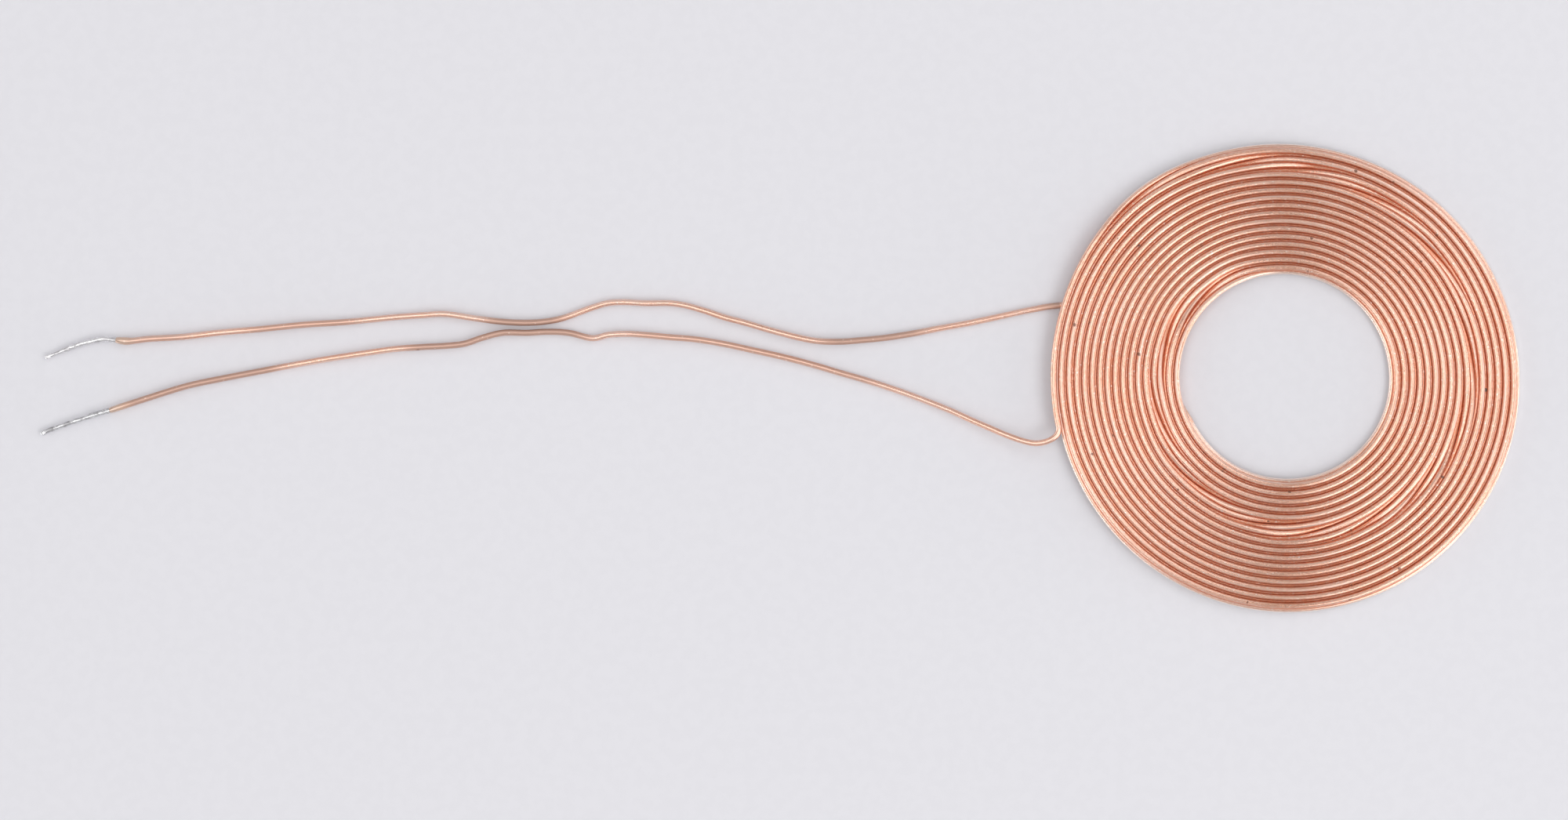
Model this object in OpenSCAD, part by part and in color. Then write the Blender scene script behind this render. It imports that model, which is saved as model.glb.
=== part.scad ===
// Flat spiral coil, wound in two nested layers from one length of enamelled copper wire.
// The wire starts at the hole, so its first lead runs out underneath the turns and the coil
// leans on it. The other lead is the end of the last turn. Both leads end in a tinned tip.
// Millimetres, +Z up. The origin is on the surface that the coil lies on, below the middle
// of the winding, and the leads run towards -X.

/* [Wire] */
// Diameter of the wire over its enamel
wire_d = 0.56; // [0.46:0.02:0.68]
// Diameter of the tinned wire where a tip begins
tip_root_d = 0.5; // [0.4:0.02:0.6]
// Diameter of the tin at the very end of a tip
tip_end_d = 0.34; // [0.2:0.02:0.5]

/* [Winding] */
// Radius of the innermost turn, to the middle of the wire
inner_turn_r = 10; // [8:0.5:14]
// Number of turns in the lower layer
lower_turns = 16; // [8:1:24]
// Gap between neighbouring turns of one layer
turn_gap = 0.185; // [0.02:0.005:0.25]
// Depth to which the coats of two touching turns are melted together
bond_depth = 0.02; // [0.01:0.01:0.04]
// Angle at which the last turn of the upper layer comes up at the rim
last_turn_from = 110; // [90:5:150]
// Angle at which the last turn ends and the end lead leaves the rim
last_turn_to = 192; // [170:1:200]

/* [Start of the wire] */
// Angle at which the wire, coming from below, joins the innermost turn
join_angle = 190; // [180:1:200]
// Radius of the bend that brings it out to the rim, below the turns
under_bend_r = 10.2; // [9:0.1:14]
// Angle through which that bend runs
under_bend_sweep = 85; // [70:1:95]
// Angle along the innermost turn over which the wire climbs into it
climb_sweep = 16; // [10:1:30]
// Gap between the wire below and the first turn that crosses it
under_gap = 0.02; // [0.01:0.01:0.05]

/* [Hidden] */

copper = [0.85, 0.52, 0.38];
tin = [0.8, 0.8, 0.81];
wire_r = wire_d / 2;
// Facets of a turn's section, of a whole turn, of the leads and of the wire below the turns
section_fn = 48;
turn_fn = 180;
lead_sides = 8;
run_sides = 12;
// Steps of the bend below the turns and of the climb into the innermost turn
bend_steps = 14;
climb_steps = 6;
// Length of straight wire where a lead leaves the coil
lead_in = 0.4;

// The upper turns lie in the grooves between the lower ones
turn_pitch = wire_d + turn_gap;
upper_turns = lower_turns - 1;
layer_rise = sqrt(pow(wire_d - bond_depth, 2) - pow(turn_pitch / 2, 2));
lower_z = wire_r;
upper_z = wire_r + layer_rise;
outer_turn_r = inner_turn_r + (lower_turns - 1) * turn_pitch;
last_turn_r = outer_turn_r + turn_pitch / 2;

// The coil touches the surface at its +X rim and lies on the wire below its second turn
lean = asin((wire_d + under_gap) / (outer_turn_r + inner_turn_r + turn_pitch));
lean_lift = outer_turn_r * sin(lean) + wire_r * (1 - cos(lean));

// Where a point of the level coil comes to lie
function leaned(p) = [
    p.x * cos(lean) + p.z * sin(lean),
    p.y,
    p.z * cos(lean) - p.x * sin(lean) + lean_lift
];

// A point on a turn, and the direction of the wire there, in the order of winding
function on_turn(r, angle, z) = leaned([r * cos(angle), r * sin(angle), z]);
function along_turn(angle) = leaned([-sin(angle), cos(angle), 0]) - leaned([0, 0, 0]);

// The wire below the turns: a bend that ends along the innermost turn, then the climb
bend_centre = (inner_turn_r + under_bend_r) * [cos(join_angle), sin(join_angle)];
bend_from = join_angle - 180;
bend_to = bend_from + under_bend_sweep;
function on_bend(angle) = concat(
    bend_centre + under_bend_r * [cos(angle), sin(angle)],
    wire_r
);
function smooth(t) = t * t * (3 - 2 * t);
function on_climb(t) =
    let (turn = on_turn(inner_turn_r, join_angle + t * climb_sweep, lower_z))
    [turn.x, turn.y, wire_r + (turn.z - wire_r) * smooth(t)];
under_path = concat(
    [for (i = [0:bend_steps - 1]) on_bend(bend_to - i * under_bend_sweep / bend_steps)],
    [for (i = [0:climb_steps]) on_climb(i / climb_steps)]
);

// Where each lead leaves the coil, and in which direction
start_exit = on_bend(bend_to);
start_heading = [-sin(bend_to), cos(bend_to), 0];
end_exit = on_turn(last_turn_r, last_turn_to, upper_z);
end_heading = along_turn(last_turn_to);

// The start lead lies flat. Steps in X and Y from its exit.
start_route = [
    [-1.5, -0.1], [-3.6, -0.5], [-6, -1.1], [-8.5, -1.6], [-11, -2.1], [-13.6, -2.6],
    [-16.2, -3], [-18.2, -3.2], [-20.2, -3.35], [-22.3, -3.3], [-24, -3], [-25.6, -2.6],
    [-27.4, -2.1], [-29.1, -1.6], [-31, -1.1], [-32.8, -0.5], [-34.6, 0], [-36, 0.2],
    [-38.4, 0.2], [-40.4, 0.3], [-41.8, 0.2], [-43.2, -0.2], [-46, -1.2], [-47.6, -1.5],
    [-49.4, -1.6], [-51.6, -1.5], [-54, -1.2], [-56.9, -0.8], [-58.8, -0.9], [-61.6, -1.1],
    [-65.6, -1.5], [-70, -1.8], [-74, -2.2], [-77.5, -2.5], [-81, -2.9], [-84.2, -3.1],
    [-86.1, -3.3], [-87.2, -3.2]
];
start_tip_route = [
    [-88.4, -3.2], [-89.4, -3.4], [-90.4, -3.6], [-91.4, -3.9], [-92.4, -4.3], [-93.6, -4.7]
];

// The end lead comes down to the surface. Steps in X and Y from its exit, and the height
// of the wire above where it would lie.
end_route = [
    [0.1, -0.8, 1.1], [-0.1, -1.2, 1.05], [-0.5, -1.5, 1], [-1, -1.7, 0.95],
    [-1.6, -1.7, 0.9], [-2.6, -1.6, 0.8], [-4.7, -0.9, 0.6], [-6.2, -0.3, 0.45],
    [-7.7, 0.4, 0.32], [-9.8, 1.4, 0.18], [-11.8, 2.2, 0.08], [-14.8, 3.3, 0],
    [-17.9, 4.3, 0], [-20, 4.9, 0], [-22, 5.5, 0], [-25, 6.3, 0], [-28.1, 7, 0],
    [-30.9, 7.6, 0], [-33.4, 8, 0], [-35.8, 8.2, 0], [-38, 8.4, 0], [-39.8, 8.5, 0],
    [-41.5, 8.4, 0], [-42.8, 8.1, 0], [-45.1, 8.6, 0], [-47, 8.7, 0], [-49, 8.6, 0],
    [-51.2, 8.6, 0], [-53.2, 8.1, 0], [-54.7, 7.6, 0], [-56.5, 7.4, 0], [-58.5, 7.3, 0],
    [-61.2, 7.1, 0], [-67.3, 6.2, 0], [-74.4, 4.9, 0], [-80.3, 3.7, 0], [-83.9, 2.6, 0],
    [-86.9, 1.6, 0]
];
end_tip_route = [
    [-87.6, 1.4, 0], [-88.6, 1.1, 0], [-89.6, 0.8, 0], [-90.8, 0.4, 0], [-92, 0, 0],
    [-93.7, -0.7, 0]
];

// A route's points in place: its steps are taken from the exit at resting height
function placed(exit, steps, floor_z) = [
    for (s = steps) [exit.x + s.x, exit.y + s.y, floor_z + (len(s) > 2 ? s.z : 0)]
];
start_path = concat(
    [start_exit, start_exit + lead_in * start_heading],
    placed(start_exit, start_route, wire_r)
);
end_path = concat(
    [end_exit, end_exit + lead_in * end_heading],
    placed(end_exit, end_route, wire_r)
);
tip_r = [tip_root_d, tip_end_d] / 2;
start_tip_path = concat(
    [start_path[len(start_path) - 1]],
    placed(start_exit, start_tip_route, tip_r[0])
);
end_tip_path = concat(
    [end_path[len(end_path) - 1]],
    placed(end_exit, end_tip_route, tip_r[0])
);

// A wire of changing radius: a ring of points square to the path at each of its points
function unit(v) = v / norm(v);
function heading(path, i) = unit(path[min(i + 1, len(path) - 1)] - path[max(i - 1, 0)]);
function ring(centre, ahead, r, sides) =
    let (across = unit([-ahead.y, ahead.x, 0]), up = cross(ahead, across))
    [for (k = [0:sides - 1]) centre + r * (cos(k * 360 / sides) * across + sin(k * 360 / sides) * up)];
function radius_at(radii, t) = radii[0] + (radii[1] - radii[0]) * t;

module wire(path, radii, sides) {
    last = len(path) - 1;
    points = [
        for (i = [0:last])
            each ring(path[i], heading(path, i), radius_at(radii, i / last), sides)
    ];
    walls = [
        for (i = [0:last - 1], k = [0:sides - 1])
            let (a = i * sides + k, b = i * sides + (k + 1) % sides)
            each [[a, b, b + sides], [a, b + sides, a + sides]]
    ];
    start_cap = [for (k = [sides - 1:-1:0]) k];
    end_cap = [for (k = [0:sides - 1]) last * sides + k];
    polyhedron(points = points, faces = concat([start_cap, end_cap], walls));
}

// Section of the wire at a given radius and height
module section(r, z) {
    translate([r, z]) circle(d = wire_d, $fn = section_fn);
}

// All turns of both layers, bonded into one ring
module turns() {
    rotate_extrude($fn = turn_fn) {
        for (i = [0:lower_turns - 1]) section(inner_turn_r + i * turn_pitch, lower_z);
        for (i = [0:upper_turns - 1]) section(inner_turn_r + (i + 0.5) * turn_pitch, upper_z);
    }
}

// The part turn outside the upper layer that the end lead leaves from
module last_turn() {
    rotate([0, 0, last_turn_from])
        rotate_extrude(angle = last_turn_to - last_turn_from, $fn = turn_fn)
            section(last_turn_r, upper_z);
}

module winding() {
    color(copper) translate([0, 0, lean_lift]) rotate([0, lean, 0]) {
        turns();
        last_turn();
    }
}

module start_run() {
    color(copper) wire(under_path, [wire_r, wire_r], run_sides);
}

module start_lead() {
    color(copper) wire(start_path, [wire_r, wire_r], lead_sides);
}

module start_tip() {
    color(tin) wire(start_tip_path, tip_r, lead_sides);
}

module end_lead() {
    color(copper) wire(end_path, [wire_r, wire_r], lead_sides);
}

module end_tip() {
    color(tin) wire(end_tip_path, tip_r, lead_sides);
}

winding();
start_run();
start_lead();
start_tip();
end_lead();
end_tip();
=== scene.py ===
"""Looks of the flat spiral coil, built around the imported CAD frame.

One length of enamelled copper wire is wound outwards in two nested layers. Its start runs out
below the turns, its end leaves the rim, and both ends are tinned. The wire's sizes and places are
in millimetres in the frame of the CAD part, and become metres where a mesh is made. The camera
and the lamps are in metres, and so are the patterns that read Object coordinates.
"""

import logging
import math
from dataclasses import dataclass
from enum import Enum

import bpy
import numpy as np
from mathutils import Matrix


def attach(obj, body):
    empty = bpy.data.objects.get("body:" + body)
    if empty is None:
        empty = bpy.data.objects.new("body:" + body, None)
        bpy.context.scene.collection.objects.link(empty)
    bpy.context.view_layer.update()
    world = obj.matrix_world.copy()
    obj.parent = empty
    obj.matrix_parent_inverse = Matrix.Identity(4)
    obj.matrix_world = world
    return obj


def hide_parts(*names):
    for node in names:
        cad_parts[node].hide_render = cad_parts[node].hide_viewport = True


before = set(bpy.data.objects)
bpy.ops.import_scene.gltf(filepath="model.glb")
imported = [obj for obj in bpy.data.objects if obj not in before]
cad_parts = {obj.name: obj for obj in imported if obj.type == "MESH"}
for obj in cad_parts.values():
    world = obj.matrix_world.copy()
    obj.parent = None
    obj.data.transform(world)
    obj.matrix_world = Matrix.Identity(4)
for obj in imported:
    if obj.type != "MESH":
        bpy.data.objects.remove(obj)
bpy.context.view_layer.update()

LOG = logging.getLogger("flat_coil")
BODY = "root"
MM = 0.001

# The UV maps of a wire, and the attributes of a wound one, which place its painted shade and
# painted highlights
GRAIN_MAP = "grain"
BAKE_MAP = "OFBake"
PAINTED_GROOVE_SHADE = "painted_groove_shade"
CLIMB_SPARKLE = "climb_sparkle"
PAINTED_EDGE_HIGHLIGHT = "painted_edge_highlight"

# Each point of a lead's route: X and Y from the lead's exit and, where it has one, its rise
Steps = tuple[tuple[float, ...], ...]
# From where to where along a wire its coat is dull and painted darker as shade, and how strongly
Stretches = tuple[tuple[float, float, float], ...]
Colour = tuple[float, float, float, float]
Range = tuple[float, float]


class Slot(Enum):
    """The record's material slots."""

    COPPER = "enamelled_copper"
    TIN = "tinned_copper"


# --------------------------------------------------------------------------------------------
# Shapes shared by the pieces
# --------------------------------------------------------------------------------------------


def ramp(values: np.ndarray, low: float, high: float) -> np.ndarray:
    """Rises from 0 at low to 1 at high, with level ends."""
    t = np.clip((values - low) / (high - low), 0.0, 1.0)
    return t * t * (3 - 2 * t)


def polar(radius: float, angle: float, height: float) -> np.ndarray:
    """Gives the point at a radius, an angle in degrees and a height."""
    turn = math.radians(angle)
    return np.array([radius * math.cos(turn), radius * math.sin(turn), height])


def spans(points: np.ndarray) -> np.ndarray:
    """Gives the length of each step of a path."""
    return np.linalg.norm(np.diff(points, axis=0), axis=1)


def travelled(points: np.ndarray) -> np.ndarray:
    """Gives how far along a path each of its points lies."""
    return np.concatenate([[0], np.cumsum(spans(points))])


def placed(steps: Steps, origin: np.ndarray, floor_z: float) -> list[tuple[float, ...]]:
    """Puts the points of a route in place.

    Args:
        steps: The route.
        origin: Where its steps are taken from.
        floor_z: The height of a point without a rise.

    Returns:
        The points.
    """
    return [(origin[0] + x, origin[1] + y, floor_z + sum(rise)) for x, y, *rise in steps]


def eased_path(points: np.ndarray, step: float) -> np.ndarray:
    """Runs a smooth curve through points.

    Args:
        points: The points that the curve passes, one row each.
        step: About how far apart the new points lie.

    Returns:
        The new points, one row each.
    """
    ahead = np.vstack([2 * points[0] - points[1], points, 2 * points[-1] - points[-2]])
    knots = np.concatenate([[0], np.cumsum(np.sqrt(spans(ahead)))])
    out = []
    for i in range(1, len(ahead) - 2):
        p0, p1, p2, p3 = ahead[i - 1 : i + 3]
        t0, t1, t2, t3 = knots[i - 1 : i + 3]
        count = max(2, int(round(np.linalg.norm(p2 - p1) / step)))
        t = np.linspace(t1, t2, count, endpoint=False)[:, None]
        a1 = (t1 - t) / (t1 - t0) * p0 + (t - t0) / (t1 - t0) * p1
        a2 = (t2 - t) / (t2 - t1) * p1 + (t - t1) / (t2 - t1) * p2
        a3 = (t3 - t) / (t3 - t2) * p2 + (t - t2) / (t3 - t2) * p3
        b1 = (t2 - t) / (t2 - t0) * a1 + (t - t0) / (t2 - t0) * a2
        b2 = (t3 - t) / (t3 - t1) * a2 + (t - t1) / (t3 - t1) * a3
        out.append((t2 - t) / (t2 - t1) * b1 + (t - t1) / (t2 - t1) * b2)
    return np.vstack([*out, points[-1:]])


def deselect() -> None:
    """Leaves nothing selected."""
    bpy.ops.object.select_all(action="DESELECT")


def activate(obj: bpy.types.Object) -> None:
    """Makes an object the only selected and the active one.

    Args:
        obj: The object.
    """
    deselect()
    obj.select_set(True)
    bpy.context.view_layer.objects.active = obj


def stand_in(obj: bpy.types.Object, node: str) -> None:
    """Puts a finished piece on the body in place of a CAD node.

    Args:
        obj: The piece.
        node: The CAD node that it replaces.
    """
    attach(obj, BODY)
    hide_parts(node)


@dataclass(frozen=True)
class PaintedLight:
    """Where painted shade and painted highlights lie on a strand wound among its own turns.

    It is given for each point along the strand: sunk is how deep the point lies below the
    upper layer, free_side is 1 where no wire lies on its right and -1 where none lies on its
    left, and climb_sparkle is how steeply it climbs, where the painted glints grow larger and
    more. The pairs are ranges in which an effect sets in. The deep one is of sunk, and the
    others are of the way round the wire, as a share of a turn from its top, positive towards
    its right or towards its free side.
    """

    sunk: np.ndarray
    free_side: np.ndarray
    climb_sparkle: np.ndarray
    # Painted shade: where it sets in round the wire in the grooves, where it sets in on the lower
    # layer, how dark it is there, and where a free side is left without it
    groove_shade: Range = (0.09, 0.25)
    deep: Range = (0.7, 1.0)
    deep_shade: float = 0.7
    unshaded_side: Range = (-0.12, -0.02)
    # Where the painted highlight on a free side sets in round the wire, and how strong it is at
    # the rim and in the hole
    painted_edge_highlight: Range = (0.04, 0.13)
    rim_shine: float = 1.0
    hole_shine: float = 0.7

    def layers(self, off_top: np.ndarray) -> dict[str, np.ndarray]:
        """Works out the attributes of the wound wire.

        Painted shade darkens the grooves between the turns and the tops of the deep ones, but not
        a free side, whose outer side gets a painted highlight instead.

        Args:
            off_top: The way round the wire of each point of a ring.

        Returns:
            The values of each attribute, by its name, in the order of the rings.
        """
        outwards = np.outer(self.free_side, off_top)
        # Painted shade in the grooves between the turns and on the lower layer that shows between
        # them
        on_deep = self.deep_shade * ramp(self.sunk[:, None], *self.deep)
        painted_groove_shade = np.maximum(ramp(np.abs(off_top), *self.groove_shade), on_deep)
        unshaded_side = np.abs(self.free_side)[:, None] * ramp(outwards, *self.unshaded_side)
        # Painted highlight on the outer side of the lower-layer turns at the rim and in the hole
        shine = np.where(self.free_side > 0, self.rim_shine, self.hole_shine) * self.sunk
        return {
            PAINTED_GROOVE_SHADE: painted_groove_shade * (1 - unshaded_side),
            CLIMB_SPARKLE: np.repeat(self.climb_sparkle, len(off_top)),
            PAINTED_EDGE_HIGHLIGHT: shine[:, None] * ramp(outwards, *self.painted_edge_highlight),
        }


@dataclass
class Wire:
    """A round wire swept along a path, with closed ends.

    It has two UV maps. The grain map holds the way round the wire, from 0 to 1 with its seam
    below, and the way along it in millimetres. The bake map lays the wire out in rows, with a
    margin round each. A wound wire also has the attributes that place its painted shade and
    painted highlights.
    """

    name: str
    path: np.ndarray
    radii: np.ndarray
    half_sides: int = 7
    rows: int = 1
    coat: PaintedLight | None = None
    row_margin: float = 0.03
    end_margin: float = 0.002
    weld: float = 1e-7
    sharp_angle: float = 60.0

    @property
    def sides(self) -> int:
        """How many points a ring has."""
        return 2 * self.half_sides

    @property
    def lowest(self) -> int:
        """Which point of a ring lies lowest."""
        return self.half_sides * 3 // 2

    def sweep(self) -> bpy.types.Object:
        """Draws the wire as a bevelled curve and turns that into a mesh.

        Returns:
            The mesh object.
        """
        curve = bpy.data.curves.new(self.name, "CURVE")
        curve.dimensions = "3D"
        curve.twist_mode = "Z_UP"
        curve.bevel_depth = float(self.radii.max()) * MM
        curve.bevel_resolution = self.half_sides - 2
        curve.use_fill_caps = True
        line = curve.splines.new("POLY")
        line.points.add(len(self.path) - 1)
        places = np.column_stack([self.path * MM, np.ones(len(self.path))])
        line.points.foreach_set("co", places.astype(np.float32).ravel())
        line.points.foreach_set("radius", (self.radii / self.radii.max()).astype(np.float32))
        line.use_smooth = True
        obj = bpy.data.objects.new(self.name, curve)
        bpy.context.scene.collection.objects.link(obj)
        activate(obj)
        bpy.ops.object.convert(target="MESH")
        return bpy.context.active_object

    def first_ring(self, mesh: bpy.types.Mesh) -> int:
        """Finds which vertex the rings begin with, as the caps lie before or after them.

        Args:
            mesh: The swept wire's mesh.

        Returns:
            The number of that vertex.
        """
        sides = self.sides
        places = np.empty(3 * len(mesh.vertices), np.float32)
        mesh.vertices.foreach_get("co", places)
        second = places.reshape(-1, 3)[sides : 2 * sides].mean(0)
        caps_last = np.allclose(second, self.path[1] * MM, atol=1e-6)
        return 0 if caps_last else 2 * sides

    def lay_maps(self, obj: bpy.types.Object) -> None:
        """Writes both UV maps from the order of the rings.

        Args:
            obj: The swept wire, whose rings follow each other.
        """
        mesh, sides = obj.data, self.sides
        vertex = np.empty(len(mesh.loops), np.int32)
        mesh.loops.foreach_get("vertex_index", vertex)
        vertex -= self.first_ring(mesh)
        total = np.empty(len(mesh.polygons), np.int32)
        mesh.polygons.foreach_get("loop_total", total)
        first = np.concatenate([[0], np.cumsum(total)[:-1]])
        face = np.repeat(np.arange(len(total)), total)
        capped = (vertex < 0) | (vertex >= sides * len(self.path))
        ring = np.where(capped, 0, vertex // sides)
        seat = (vertex % sides - self.lowest) % sides
        ring_low = np.minimum.reduceat(ring, first)[face]
        seat_low = np.minimum.reduceat(seat, first)[face]
        seat_high = np.maximum.reduceat(seat, first)[face]
        seat = np.where((seat_high - seat_low > 1) & (seat == 0), sides, seat)
        around = seat / sides
        grain = np.column_stack([around, travelled(self.path)[ring]])
        per_row = math.ceil((len(self.path) - 1) / self.rows)
        row = ring_low // per_row
        across = (ring - row * per_row) / per_row
        up = (row + self.row_margin + (1 - 2 * self.row_margin) * around) / self.rows
        bake = np.column_stack([self.end_margin + (1 - 2 * self.end_margin) * across, up])
        bake[capped] = self.end_margin / 2
        for old in list(mesh.uv_layers):
            mesh.uv_layers.remove(old)
        for name, values in ((GRAIN_MAP, grain), (BAKE_MAP, bake)):
            layer = mesh.uv_layers.new(name=name)
            layer.uv.foreach_set("vector", values.astype(np.float32).ravel())

    def lay_painted_light(self, mesh: bpy.types.Mesh) -> None:
        """Writes the attributes that place the painted shade and painted highlights.

        Args:
            mesh: The swept wire's mesh, whose rings follow each other.
        """
        off_top = ((np.arange(self.sides) - self.lowest) % self.sides) / self.sides - 0.5
        first = self.first_ring(mesh)
        values = np.zeros(len(mesh.vertices), np.float32)
        for name, at_rings in self.coat.layers(off_top).items():
            values[first : first + at_rings.size] = at_rings.ravel()
            mesh.attributes.new(name, "FLOAT", "POINT").data.foreach_set("value", values)

    def close_ends(self, obj: bpy.types.Object) -> None:
        """Joins the caps to the wire and turns all faces outwards.

        Args:
            obj: The swept wire.
        """
        activate(obj)
        bpy.ops.object.mode_set(mode="EDIT")
        bpy.ops.mesh.select_all(action="SELECT")
        bpy.ops.mesh.remove_doubles(threshold=self.weld)
        bpy.ops.mesh.normals_make_consistent(inside=False)
        bpy.ops.object.mode_set(mode="OBJECT")
        bpy.ops.object.shade_smooth_by_angle(angle=math.radians(self.sharp_angle))

    def build(self, material: bpy.types.Material) -> bpy.types.Object:
        """Makes the finished piece.

        Args:
            material: The finish it wears.

        Returns:
            The mesh object, at the origin, with its place in its mesh.
        """
        obj = self.sweep()
        self.lay_maps(obj)
        if self.coat is not None:
            self.lay_painted_light(obj.data)
        self.close_ends(obj)
        obj.data.materials.clear()
        obj.data.materials.append(material)
        LOG.info("%s: %d faces", self.name, len(obj.data.polygons))
        return obj


# --------------------------------------------------------------------------------------------
# The coil's sizes, as in the CAD part
# --------------------------------------------------------------------------------------------


@dataclass(frozen=True)
class CoilSizes:
    """Sizes that the sub-assemblies share, in millimetres and degrees."""

    wire_d: float = 0.56
    inner_turn_r: float = 10.0
    lower_turns: int = 16
    turn_gap: float = 0.185
    bond_depth: float = 0.02
    under_gap: float = 0.02
    last_turn_to: float = 192.0
    join_angle: float = 190.0
    under_bend_r: float = 10.2
    under_bend_sweep: float = 85.0
    climb_sweep: float = 16.0

    @property
    def wire_r(self) -> float:
        """Half the wire's diameter."""
        return self.wire_d / 2

    @property
    def turn_pitch(self) -> float:
        """How far apart the turns of one layer lie."""
        return self.wire_d + self.turn_gap

    @property
    def outer_turn_r(self) -> float:
        """Radius of the outermost turn of the lower layer."""
        return self.inner_turn_r + (self.lower_turns - 1) * self.turn_pitch

    @property
    def upper_z(self) -> float:
        """Height of the upper layer in the grooves of the lower one."""
        touch = self.wire_d - self.bond_depth
        return self.wire_r + math.sqrt(touch**2 - (self.turn_pitch / 2) ** 2)

    @property
    def lean(self) -> float:
        """How far the coil leans on the wire below it, in radians."""
        reach = self.outer_turn_r + self.inner_turn_r + self.turn_pitch
        return math.asin((self.wire_d + self.under_gap) / reach)

    @property
    def lean_lift(self) -> float:
        """How far the middle of the coil is lifted by its lean."""
        turned_up = self.wire_r * (1 - math.cos(self.lean))
        return self.outer_turn_r * math.sin(self.lean) + turned_up

    def leaned(self, points: np.ndarray) -> np.ndarray:
        """Moves points of the level coil to where they come to lie.

        Args:
            points: One point, or one in each row.

        Returns:
            The same points on the leaning coil.
        """
        x, y, z = np.moveaxis(points, -1, 0)
        c, s = math.cos(self.lean), math.sin(self.lean)
        return np.stack([x * c + z * s, y, z * c - x * s + self.lean_lift], -1)

    def bend_point(self, angle: float) -> np.ndarray:
        """Gives a point of the bend below the turns."""
        centre = polar(self.inner_turn_r + self.under_bend_r, self.join_angle, self.wire_r)
        return centre + polar(self.under_bend_r, angle, 0)

    def bend_angles(self) -> tuple[float, float]:
        """Gives the angles where the bend leaves the innermost turn and where it ends."""
        first = self.join_angle - 180
        return first, first + self.under_bend_sweep

    def start_exit(self) -> tuple[np.ndarray, np.ndarray]:
        """Gives where the start lead leaves the coil, and its heading there."""
        last = self.bend_angles()[1]
        return self.bend_point(last), polar(1, last + 90, 0)

    def end_exit(self) -> np.ndarray:
        """Gives where the end lead leaves the CAD part's coil."""
        radius = self.outer_turn_r + self.turn_pitch / 2
        return self.leaned(polar(radius, self.last_turn_to, self.upper_z))


# --------------------------------------------------------------------------------------------
# Finishes
# --------------------------------------------------------------------------------------------


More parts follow.
